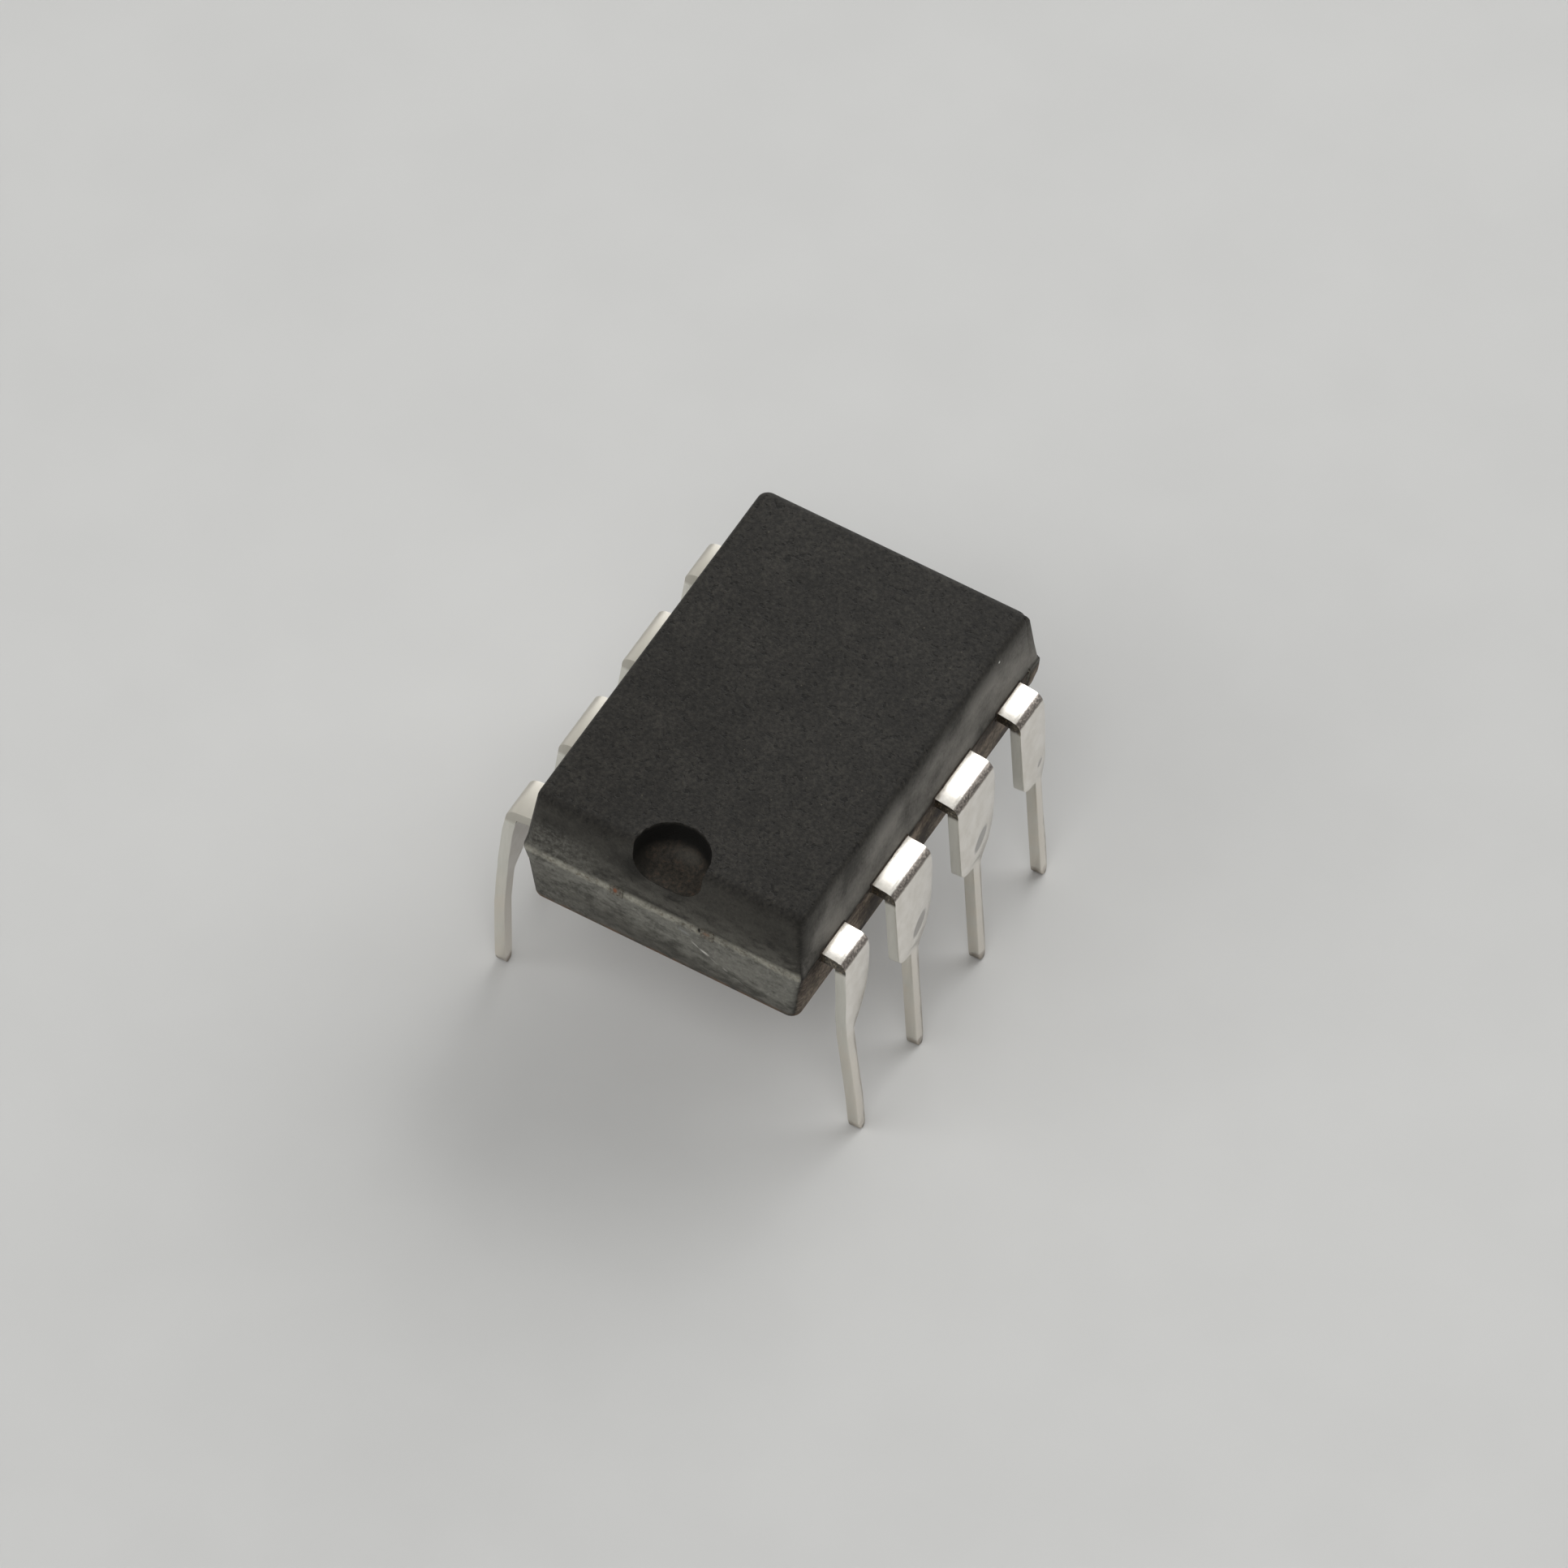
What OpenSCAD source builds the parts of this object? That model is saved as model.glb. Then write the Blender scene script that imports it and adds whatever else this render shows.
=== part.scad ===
// Dual in-line package with eight leads: a resin body moulded round a stamped lead frame.
// The origin is the middle of the lead pattern, level with the lead tips.
// X runs along the body away from the notched end, Y runs across it and Z is up.
// Leads 1 to 4 stand on the -Y side from the notch, and 5 to 8 come back along the +Y side.

/* [Body] */
// Length of the body at the parting line
body_l = 9.5; // [9.2:0.1:10.2]
// Width of the body at the parting line
body_w = 6.5; // [6.3:0.1:6.8]
// Height of the upper half above the middle of the lead frame
upper_h = 1.65; // [1.5:0.05:2]
// Depth of the lower half below the middle of the lead frame
lower_h = 1.65; // [1.4:0.05:1.8]
// Draft of the upper half's walls, in degrees
upper_draft = 5.5; // [3:0.5:8]
// Draft of the lower half's walls, in degrees
lower_draft = 6.5; // [3:0.5:8]
// Radius of the upright corners, seen from above
corner_r = 0.24; // [0.15:0.01:0.35]
// Rounding of the top and bottom edges
edge_r = 0.08; // [0.04:0.01:0.12]
// Height of the upright band where the halves meet
band_h = 0.12; // [0.06:0.02:0.2]

/* [Resin flash] */
// How far the flash rim stands out of the parting line
flash_reach = 0.04; // [0.02:0.01:0.08]
// Thickness of the flash rim
flash_t = 0.06; // [0.04:0.01:0.1]
// Radius of the lump of flash at the corner beside lead 4
lump_r = 0.17; // [0.1:0.01:0.25]
// Thickness of that lump
lump_t = 0.2; // [0.1:0.02:0.3]

/* [Notch] */
// Radius of the index notch
notch_r = 0.8; // [0.6:0.05:1]
// Depth of the notch below the top face
notch_depth = 0.9; // [0.6:0.05:1.1]
// Distance of the notch's axis from the top face's end
notch_inset = 0.12; // [0:0.02:0.3]
// Rounding between the notch's wall and its floor
notch_floor_r = 0.25; // [0.1:0.05:0.4]

/* [Moulding marks] */
// Radius of the ejector pin marks on the underside
ejector_r = 0.8; // [0.5:0.05:1]
// Depth of those marks
ejector_depth = 0.05; // [0.03:0.01:0.1]
// Distance between them along the body
ejector_gap = 5.2; // [4:0.1:6]

/* [Leads] */
// Distance from one lead to the next
pitch = 2.54; // [2.5:0.01:2.6]
// Distance over the outer faces of both rows, just below the bends
shoulder_span = 7.75; // [7.7:0.01:8.2]
// How far both rows stand off the body's middle, towards leads 5 to 8
row_shift = 0.035; // [0:0.005:0.05]
// Thickness of the strip
lead_t = 0.25; // [0.2:0.01:0.3]
// Width of a full shoulder
shoulder_w = 1.46; // [1.4:0.02:1.56]
// Width of an end shoulder on its outer side, from the leg's middle
end_shoulder_w = 0.22; // [0.2:0.01:0.3]
// Narrowing of a shoulder's edge that faces away from the notch
shoulder_taper = 0.16; // [0:0.02:0.2]
// Rounding of a shoulder's lower corners
shoulder_r = 0.24; // [0.1:0.02:0.3]
// Width of a leg
leg_w = 0.34; // [0.3:0.01:0.38]
// Drop from the middle of the strip to the seating step
seat_drop = 2; // [1.9:0.05:2.3]
// Length of a leg below the seating step
leg_l = 3.2; // [2.9:0.1:3.8]
// Chamfer at a leg's tip
tip_chamfer = 0.09; // [0.04:0.01:0.12]
// Inner radius of the bend
bend_r = 0.08; // [0.05:0.01:0.15]
// Outward lean of a straight leg, in degrees
leg_lean = 5.5; // [3:0.1:7]
// Lean of lead 1 above its kink, in degrees
lead_1_upper_lean = 3.2; // [2:0.1:6]
// Lean of lead 1 below its kink, in degrees
lead_1_lower_lean = 8.4; // [4:0.1:9]
// Lean of lead 8 above its kink, in degrees
lead_8_upper_lean = 6; // [2:0.1:8]
// Lean of lead 8 below its kink, in degrees
lead_8_lower_lean = -1.4; // [-3:0.1:4]
// Drop from the middle of the strip to the kinks
kink_drop = 2.4; // [2.3:0.1:3]

/* [Lead frame inside the resin] */
// Depth of the full shoulder inside the resin
root_depth = 0.35; // [0.25:0.05:0.5]
// Width of a finger
finger_w = 0.8; // [0.6:0.05:0.85]
// Gap between the paddle and a finger's end
finger_gap = 0.3; // [0.2:0.05:0.4]
// Radius of the hole that locks a finger in the resin
lock_r = 0.2; // [0.1:0.02:0.25]
// Length of the paddle
paddle_l = 3.4; // [3:0.1:3.8]
// Width of the paddle
paddle_w = 2.5; // [2.4:0.1:2.7]
// Width of a tie bar
tie_w = 0.3; // [0.2:0.02:0.4]
// Distance between the two tie bars' middles
tie_gap = 2.1; // [1.9:0.05:2.1]
// How far a tie bar's cut end stands out of the resin
tie_proud = 0.02; // [0.01:0.01:0.04]

/* [Die] */
// Length of the die
die_l = 2; // [1.6:0.1:2.4]
// Width of the die
die_w = 1.5; // [1.2:0.1:1.9]
// Thickness of the die
die_t = 0.3; // [0.2:0.02:0.4]
// Thickness of the adhesive under the die
attach_t = 0.04; // [0.02:0.01:0.06]
// Width of the adhesive round the die
attach_rim = 0.1; // [0.05:0.01:0.15]

/* [Bond wires] */
// Diameter of a wire
wire_d = 0.03; // [0.02:0.005:0.05]
// Radius of the ball where a wire starts
ball_r = 0.045; // [0.04:0.005:0.06]
// Height of the ball, and of the stitch at the other end
ball_h = 0.03; // [0.02:0.005:0.04]
// Rise of a wire above the die
loop_h = 0.25; // [0.15:0.05:0.4]
// Rise of a wire's end above the finger
stitch_h = 0.12; // [0.08:0.02:0.2]
// How far a wire's rounded joints stand out round it where it turns
joint_reach = 0.006; // [0.004:0.001:0.01]
// Distance of a pad's middle from the die's edge
pad_inset = 0.15; // [0.1:0.01:0.2]
// Place of the inner pads between the die's middle (0) and its end (1)
inner_pad_share = 0.35; // [0.2:0.05:0.5]
// Place of the outer pads between the die's middle (0) and its end (1)
outer_pad_share = 0.8; // [0.7:0.05:0.85]

/* [Hidden] */

resin_colour = "#383732";
tin_colour = "#b9b7b2";
copper_colour = "#8a4a30";
adhesive_colour = "#a8a8a4";
silicon_colour = "#5a5a64";
gold_colour = "#d8b04a";

// A row holds four leads, and the first and last of it are the end leads
row_leads = 4;
// Height of the middle of the lead frame above the tips
frame_z = seat_drop + leg_l;
// Extra length on whatever cuts right through a solid
over = 1;
// Steps in a quarter of a rounded corner
corner_steps = 5;
edge_steps = 3;
bend_steps = 8;
round_fn = 48;
wire_fn = 16;

// Walls of the body: the inset at a height h above or below the band
upper_wall_h = upper_h - band_h / 2;
lower_wall_h = lower_h - band_h / 2;
upper_inset = upper_wall_h * tan(upper_draft);
lower_inset = lower_wall_h * tan(lower_draft);
top_end_x = body_l / 2 - upper_inset;

// Outer bend radius of the strip
bend_outer_r = bend_r + lead_t;
// Height over which a shoulder's foot runs in to its leg
leg_step = 0.06;

// Fingers, seen from above, with y counted outwards from the body's middle
root_y = body_w / 2 - root_depth;
finger_tip_y = paddle_w / 2 + finger_gap;
end_finger_x = paddle_l / 2 + 2 * finger_gap;
// A locking hole's middle, counted from the fingers' ends and, in an end lead, from the leg's middle
lock_y = finger_tip_y + finger_w;
lock_shift = (shoulder_w / 2 - end_shoulder_w) / 2;

// Heights above the middle of the lead frame
strip_top = lead_t / 2;
die_bottom = strip_top + attach_t;
die_top = die_bottom + die_t;

// Distance of the pads from the die's middle, along the body
inner_pad_x = inner_pad_share * die_l / 2;
outer_pad_x = outer_pad_share * die_l / 2;
// Radius of a wire's rounded joints
joint_r = wire_d / 2 + joint_reach;

// Points of an arc round a centre
function arc(cx, cy, r, from, to, steps) =
    [for (k = [0:steps]) let (a = from + (to - from) * k / steps) [cx + r * cos(a), cy + r * sin(a)]];

// One ring of a lofted body: a rectangle with rounded corners at a height
function ring(inset, r, z) =
    let (hl = body_l / 2 - inset - r, hw = body_w / 2 - inset - r)
    [for (q = [0:3]) for (p = arc(q == 0 || q == 3 ? hl : -hl, q < 2 ? hw : -hw, r, 90 * q, 90 * q + 90,
        corner_steps)) [p[0], p[1], z]];

// The rings from the bottom face to the top face
function body_rings() = concat(
    [for (k = [0:edge_steps]) let (a = 90 * k / edge_steps)
        ring(lower_inset + edge_r * (1 - sin(a)), corner_r - edge_r * (1 - sin(a)),
            -lower_h + edge_r * (1 - cos(a)))],
    [ring(0, corner_r, -band_h / 2), ring(0, corner_r, band_h / 2)],
    [for (k = [0:edge_steps]) let (a = 90 * k / edge_steps)
        ring(upper_inset + edge_r * (1 - cos(a)), corner_r - edge_r * (1 - cos(a)),
            upper_h - edge_r * (1 - sin(a)))]);

// A closed solid through rings that all have the same number of points
module loft(rings) {
    n = len(rings[0]);
    last = (len(rings) - 1) * n;
    polyhedron(
        points = [for (r = rings) for (p = r) p],
        faces = concat(
            [[for (i = [0:n - 1]) i]],
            [for (j = [0:len(rings) - 2]) for (i = [0:n - 1])
                [j * n + i, (j + 1) * n + i, (j + 1) * n + (i + 1) % n, j * n + (i + 1) % n]],
            [[for (i = [n - 1:-1:0]) last + i]]));
}

// The thin rim of resin that leaked out where the two halves of the mould met
module flash_rim() {
    corners = [for (p = ring(-flash_reach, corner_r + flash_reach, 0)) [p[0], p[1]]];
    translate([0, 0, -flash_t / 2]) linear_extrude(flash_t) polygon(corners);
    translate([body_l / 2 - lump_r / 2, -body_w / 2 + lump_r / 2, -lump_t / 2])
        cylinder(r = lump_r, h = lump_t, $fn = round_fn);
}

// The cutter for the index notch: a round recess with a rounded foot
module notch_cutter() {
    foot = arc(notch_r - notch_floor_r, notch_floor_r, notch_floor_r, -90, 0, corner_steps);
    translate([-top_end_x + notch_inset, 0, upper_h - notch_depth])
        rotate_extrude($fn = round_fn)
            polygon(concat([[0, 0]], foot, [[notch_r, notch_depth + over], [0, notch_depth + over]]));
}

module ejector_marks() {
    for (side = [-1, 1])
        translate([side * ejector_gap / 2, 0, -lower_h - over])
            cylinder(r = ejector_r, h = over + ejector_depth, $fn = round_fn);
}

module moulded_body() {
    color(resin_colour) translate([0, 0, frame_z]) difference() {
        union() {
            loft(body_rings());
            flash_rim();
        }
        notch_cutter();
        ejector_marks();
        for (pin = [1:2 * row_leads]) {
            lead_solid(pin);
            wire_solid(pin);
        }
        paddle_solid();
        attach_solid();
        die_solid();
    }
}

// Where a lead stands: its place along the row, its side of the body and which way its finger turns
function row_place(pin) = pin <= row_leads ? pin - 1 : 2 * row_leads - pin;
function lead_x(pin) = (row_place(pin) - (row_leads - 1) / 2) * pitch;
function is_first(pin) = row_place(pin) == 0;
function is_last(pin) = row_place(pin) == row_leads - 1;
function is_end(pin) = is_first(pin) || is_last(pin);
function bend_y(pin) = shoulder_span / 2 + (pin <= row_leads ? -1 : 1) * row_shift - bend_outer_r;
function upper_lean(pin) = pin == 1 ? lead_1_upper_lean : pin == 8 ? lead_8_upper_lean : leg_lean;
function lower_lean(pin) = pin == 1 ? lead_1_lower_lean : pin == 8 ? lead_8_lower_lean : leg_lean;

// Puts a row's shapes on the lead's own side of the body
module on_side(pin) {
    mirror([0, pin <= row_leads ? 1 : 0, 0]) children();
}

// The strip seen from its end: a shoulder, the bend, and a leg that may have a kink
module strip_profile(pin) {
    upper = upper_lean(pin);
    lower = lower_lean(pin);
    normal = [cos(upper), sin(upper)];
    centre = [bend_y(pin), strip_top - bend_outer_r];
    bend_foot = centre + bend_outer_r * normal;
    kink_l = kink_drop + bend_foot[1];
    kink = bend_foot + kink_l / cos(upper) * [sin(upper), -cos(upper)];
    leg_end = kink + (frame_z - kink_drop + over) / cos(lower) * [sin(lower), -cos(lower)];
    // The inner face meets itself at the kink on the line that halves the angle
    half = (upper + lower) / 2;
    kink_depth = lead_t / cos((upper - lower) / 2);
    polygon(concat(
        [[root_y, -strip_top], [root_y, strip_top]],
        arc(centre[0], centre[1], bend_outer_r, 90, upper, bend_steps),
        [kink, leg_end, leg_end - lead_t * [cos(lower), sin(lower)],
            kink - kink_depth * [cos(half), sin(half)]],
        arc(centre[0], centre[1], bend_r, upper, 90, bend_steps)));
}

// The strip's outline seen from its outer face, with the leg's middle at x = 0
module strip_outline(pin) {
    near = is_first(pin) ? end_shoulder_w : shoulder_w / 2;
    far = is_last(pin) ? end_shoulder_w : shoulder_w / 2;
    // An end lead steps in so little on its outer side that only a short slope is left
    near_r = is_first(pin) ? end_shoulder_w - leg_w / 2 : shoulder_r;
    far_r = is_last(pin) ? end_shoulder_w - leg_w / 2 : shoulder_r;
    far_low = is_last(pin) ? far : far - shoulder_taper;
    foot = -frame_z;
    polygon(concat(
        [[-near, lead_t], [-near, -seat_drop + near_r]],
        arc(-near + near_r, -seat_drop + near_r, near_r, 180, 270, corner_steps),
        [[-leg_w / 2, -seat_drop - leg_step], [-leg_w / 2, foot + tip_chamfer],
            [-leg_w / 2 + tip_chamfer, foot], [leg_w / 2 - tip_chamfer, foot],
            [leg_w / 2, foot + tip_chamfer], [leg_w / 2, -seat_drop - leg_step]],
        arc(far_low - far_r, -seat_drop + far_r, far_r, 270, 360, corner_steps),
        [[far, -bend_outer_r], [far, lead_t]]));
}

// A finger seen from above, from its root at the shoulder to its end beside the paddle
module finger_outline(pin) {
    turn = is_first(pin) ? 1 : -1;
    x = lead_x(pin);
    if (is_end(pin)) {
        outer_x = x - turn * end_shoulder_w;
        inner_x = x + turn * shoulder_w / 2;
        tip_x = -turn * end_finger_x;
        polygon([[outer_x, root_y], [outer_x, finger_tip_y + finger_w],
            [outer_x + turn * finger_w / 2, finger_tip_y], [tip_x, finger_tip_y],
            [tip_x, finger_tip_y + finger_w / 2], [inner_x, finger_tip_y + finger_w], [inner_x, root_y]]);
    } else {
        polygon([[x - finger_w / 2, root_y], [x - finger_w / 2, finger_tip_y],
            [x + finger_w / 2, finger_tip_y], [x + finger_w / 2, root_y]]);
    }
}

// Where a finger's locking hole stands along the body
function lock_x(pin) = is_end(pin) ? lead_x(pin) + (is_first(pin) ? 1 : -1) * lock_shift : lead_x(pin);

module lead_solid(pin) {
    on_side(pin) difference() {
        union() {
            intersection() {
                rotate([90, 0, 90]) translate([0, 0, -pitch * row_leads])
                    linear_extrude(2 * pitch * row_leads) strip_profile(pin);
                translate([lead_x(pin), shoulder_span + over, 0]) rotate([90, 0, 0])
                    linear_extrude(shoulder_span + over) strip_outline(pin);
            }
            translate([0, 0, -strip_top]) linear_extrude(lead_t) finger_outline(pin);
        }
        translate([lock_x(pin), lock_y, -lead_t]) cylinder(r = lock_r, h = 2 * lead_t, $fn = round_fn);
    }
}

module lead(pin) {
    color(tin_colour) translate([0, 0, frame_z]) lead_solid(pin);
}

// The paddle is a plate with two tie bars that run out through both ends of the body
module paddle_solid() {
    translate([-paddle_l / 2, -paddle_w / 2, -strip_top]) cube([paddle_l, paddle_w, lead_t]);
    for (side = [-1, 1])
        translate([-body_l / 2 - tie_proud, side * tie_gap / 2 - tie_w / 2, -strip_top])
            cube([body_l + 2 * tie_proud, tie_w, lead_t]);
}

module die_paddle() {
    color(copper_colour) translate([0, 0, frame_z]) paddle_solid();
}

module attach_solid() {
    l = die_l + 2 * attach_rim;
    w = die_w + 2 * attach_rim;
    translate([-l / 2, -w / 2, strip_top]) cube([l, w, attach_t]);
}

module die_attach() {
    color(adhesive_colour) translate([0, 0, frame_z]) attach_solid();
}

module die_solid() {
    translate([-die_l / 2, -die_w / 2, die_bottom]) cube([die_l, die_w, die_t]);
}

module silicon_die() {
    color(silicon_colour) translate([0, 0, frame_z]) die_solid();
}

// A wire rises from its ball on the die, runs over the paddle's edge and ends in a stitch on its finger
module wire_solid(pin) {
    toward = lead_x(pin) > 0 ? 1 : -1;
    pad = [toward * (is_end(pin) ? outer_pad_x : inner_pad_x), die_w / 2 - pad_inset, die_top];
    landing = [is_end(pin) ? toward * (end_finger_x + pad_inset) : lead_x(pin),
        finger_tip_y + pad_inset, strip_top];
    start = pad + [0, 0, loop_h];
    end = landing + [0, 0, stitch_h];
    run = end - start;
    on_side(pin) {
        translate(pad) cylinder(r = ball_r, h = ball_h, $fn = wire_fn);
        translate(pad) cylinder(d = wire_d, h = loop_h, $fn = wire_fn);
        translate(start) sphere(r = joint_r, $fn = wire_fn);
        translate(start) rotate([0, acos(run[2] / norm(run)), atan2(run[1], run[0])])
            cylinder(d = wire_d, h = norm(run), $fn = wire_fn);
        translate(end) sphere(r = joint_r, $fn = wire_fn);
        translate(landing) cylinder(d = wire_d, h = stitch_h, $fn = wire_fn);
        translate(landing) cylinder(r = ball_r, h = ball_h, $fn = wire_fn);
    }
}

module bond_wire(pin) {
    color(gold_colour) translate([0, 0, frame_z]) wire_solid(pin);
}

moulded_body();
lead(1);  // lead_1
lead(2);  // lead_2
lead(3);  // lead_3
lead(4);  // lead_4
lead(5);  // lead_5
lead(6);  // lead_6
lead(7);  // lead_7
lead(8);  // lead_8
die_paddle();
die_attach();
silicon_die();
bond_wire(1);  // bond_wire_1
bond_wire(2);  // bond_wire_2
bond_wire(3);  // bond_wire_3
bond_wire(4);  // bond_wire_4
bond_wire(5);  // bond_wire_5
bond_wire(6);  // bond_wire_6
bond_wire(7);  // bond_wire_7
bond_wire(8);  // bond_wire_8
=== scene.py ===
"""Looks for an eight-lead dual in-line chip: a moulded resin body on bent tin-plated leads.

Metres, in the part's frame: the origin is the middle of the lead pattern at the tips, X runs along the body
away from its notched end, and Z is up. Sizes are written in millimetres and turned to metres by mm().
"""

import math

import bmesh
import bpy
from mathutils import Matrix, Vector


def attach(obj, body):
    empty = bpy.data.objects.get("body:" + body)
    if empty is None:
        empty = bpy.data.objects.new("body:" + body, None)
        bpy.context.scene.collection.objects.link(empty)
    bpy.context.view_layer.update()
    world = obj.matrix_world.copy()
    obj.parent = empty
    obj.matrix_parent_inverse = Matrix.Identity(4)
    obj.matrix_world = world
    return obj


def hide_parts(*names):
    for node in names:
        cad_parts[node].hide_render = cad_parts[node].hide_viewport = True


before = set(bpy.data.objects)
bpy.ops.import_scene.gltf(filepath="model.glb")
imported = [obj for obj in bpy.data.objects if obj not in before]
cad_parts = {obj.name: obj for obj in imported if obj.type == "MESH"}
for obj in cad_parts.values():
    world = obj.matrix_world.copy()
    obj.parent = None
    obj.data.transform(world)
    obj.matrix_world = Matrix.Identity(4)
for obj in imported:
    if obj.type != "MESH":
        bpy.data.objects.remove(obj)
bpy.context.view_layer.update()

MM = 0.001

# The package, in millimetres
PARTING = 5.2
BODY_L, BODY_W = 9.5, 6.5
TOP, BOTTOM = 6.85, 3.55
BAND_H = 0.12
UPPER_DRAFT, LOWER_DRAFT = math.radians(5.5), math.radians(6.5)
CORNER_R = 0.24
TOP_EDGE_R, BOTTOM_EDGE_R = 0.17, 0.06
NOTCH_X, NOTCH_R, NOTCH_DEPTH, NOTCH_FOOT_R = -4.477, 0.81, 0.9, 0.52
# The notch's chipped rim: its rings of points and where its chips start, by height from the top face, and
# how far they reach
NOTCH_RINGS, CHIP_FROM, CHIP_REACH = (-0.16, -0.05, 0.06), -0.1, 0.022
EJECTOR_X, EJECTOR_R, EJECTOR_DEPTH = 2.6, 0.8, 0.05
# At the parting line: the torn flash, and the lip that sharpens the body's corners
FLASH_SIDE, FLASH_END_GAP, FLASH_T = 0.02, 0.15, 0.04
LIP_SUNK, LIP_CORNER_R, LIP_BAND, LIP_RISE, LIP_INSET = 0.002, 0.11, 0.10, 0.34, 0.065
# The lump beside lead 4: its corner inside the resin, its outer corner, half its upright band, and its steps
# away from the band, each a rise and the place of the outer corner after it
LUMP_INNER, LUMP_OUTER, LUMP_HALF_BAND = (4.40, -2.94), (4.82, -3.30), 0.08
LUMP_ABOVE = ((0.03, 4.79, -3.256), (0.50, 4.70, -3.208), (0.50, 4.63, -3.160), (0.36, 4.59, -3.118),
              (0.12, 4.53, -3.065))
LUMP_BELOW = ((0.27, 4.81, -3.27), (0.35, 4.72, -3.20))
LUMP_EDGE_R, LUMP_TUCK, LUMP_TEAR = 0.035, 0.016, 0.014

# The leads
PITCH = 2.54
STRIP_T = 0.25
STRIP_TOP = PARTING + STRIP_T / 2
BEND_R = 0.265
BEND_STEPS = 8
EDGE_BREAK = 0.02
SHOULDER_HALF, FIRST_NEAR_TOP, LAST_FAR_TOP = 0.73, -0.215, 0.215
# The fingers inside the resin. Those of the end leads run inwards along the body: (y, x of both edges, inwards)
FINGER_TIP_Y, FINGER_HALF, ROOT_Y = 1.55, 0.4, 2.9
END_FINGER = ((FINGER_TIP_Y, 0.18, 1.51), (1.95, -0.02, 1.51), (2.35, -0.215, 0.73))
# The resin collars: how much longer than the shoulder and thicker than the strip, how deep, and how far inside
# the body's face their middle lies
COLLAR_SPARE, COLLAR_SPARE_T, COLLAR_DEPTH, COLLAR_IN = 0.04, 0.02, 0.30, 0.12


# ---------- modelling by hand ----------

# A face looks along an axis when its normal's part on it is over this
FACING = 0.9


def mm(*values):
    return Vector(values) * MM


def place(primitive, name, **settings):
    """Adds a primitive, selected alone, and goes into edit mode with all of it selected."""
    bpy.ops.object.select_all(action="DESELECT")
    primitive(**settings)
    piece = bpy.context.object
    piece.name = piece.data.name = name
    bpy.ops.object.transform_apply(location=True, rotation=True, scale=True)
    bpy.ops.object.mode_set(mode="EDIT")
    return piece


def choose(piece, kind, wanted):
    """Selects the faces, edges or vertices for which wanted is true, by their place or normal in mm."""
    bpy.ops.mesh.select_mode(type={"faces": "FACE", "edges": "EDGE", "verts": "VERT"}[kind])
    bpy.ops.mesh.select_all(action="DESELECT")
    mesh = bmesh.from_edit_mesh(piece.data)
    for part in getattr(mesh, kind):
        if kind == "faces":
            hit = wanted(part.calc_center_median() / MM, part.normal)
        elif kind == "edges":
            hit = wanted(part.verts[0].co / MM, part.verts[1].co / MM)
        else:
            hit = wanted(part.co / MM)
        if hit:
            part.select_set(True)
    mesh.select_flush_mode()
    bmesh.update_edit_mesh(piece.data)


def extrude(*move):
    bpy.ops.mesh.extrude_region_move(TRANSFORM_OT_translate={"value": mm(*move)})


def stretch(x, y, centre):
    bpy.ops.transform.resize(value=(x, y, 1), center_override=mm(*centre))


def bevel(width, steps):
    bpy.ops.mesh.bevel(offset=width * MM, segments=steps, affect="EDGES")


def done(piece):
    """Leaves edit mode with the normals turned outwards."""
    bpy.ops.mesh.select_all(action="SELECT")
    bpy.ops.mesh.normals_make_consistent(inside=False)
    bpy.ops.object.mode_set(mode="OBJECT")
    return piece


def pick(piece):
    """Selects a piece alone and makes it the active one."""
    bpy.ops.object.select_all(action="DESELECT")
    bpy.context.view_layer.objects.active = piece
    piece.select_set(True)


def apply(piece, kind, **settings):
    """Adds a modifier with its settings and applies it."""
    pick(piece)
    modifier = piece.modifiers.new(kind.lower(), kind)
    for key, value in settings.items():
        setattr(modifier, key, value)
    bpy.ops.object.modifier_apply(modifier=modifier.name)


def smooth(piece, degrees):
    """Shades a piece smooth but for its edges sharper than an angle."""
    pick(piece)
    bpy.ops.object.shade_smooth_by_angle(angle=math.radians(degrees))


# ---------- the resin body ----------

def cut(piece, cutter):
    """Takes a cutter's shape out of a piece and removes the cutter."""
    apply(piece, "BOOLEAN", operation="DIFFERENCE", solver="EXACT", object=cutter)
    bpy.data.objects.remove(cutter)


def slice_across(*at, normal=(0, 0, 1)):
    """Adds a ring of edges across all of the piece, at a plane."""
    bpy.ops.mesh.select_all(action="SELECT")
    bpy.ops.mesh.bisect(plane_co=mm(*at), plane_no=normal)


def jitter(reach, seed):
    """Moves the selected vertices a little, each its own way."""
    bpy.ops.transform.vertex_random(offset=reach * MM, normal=0, uniform=0, seed=seed)


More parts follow.
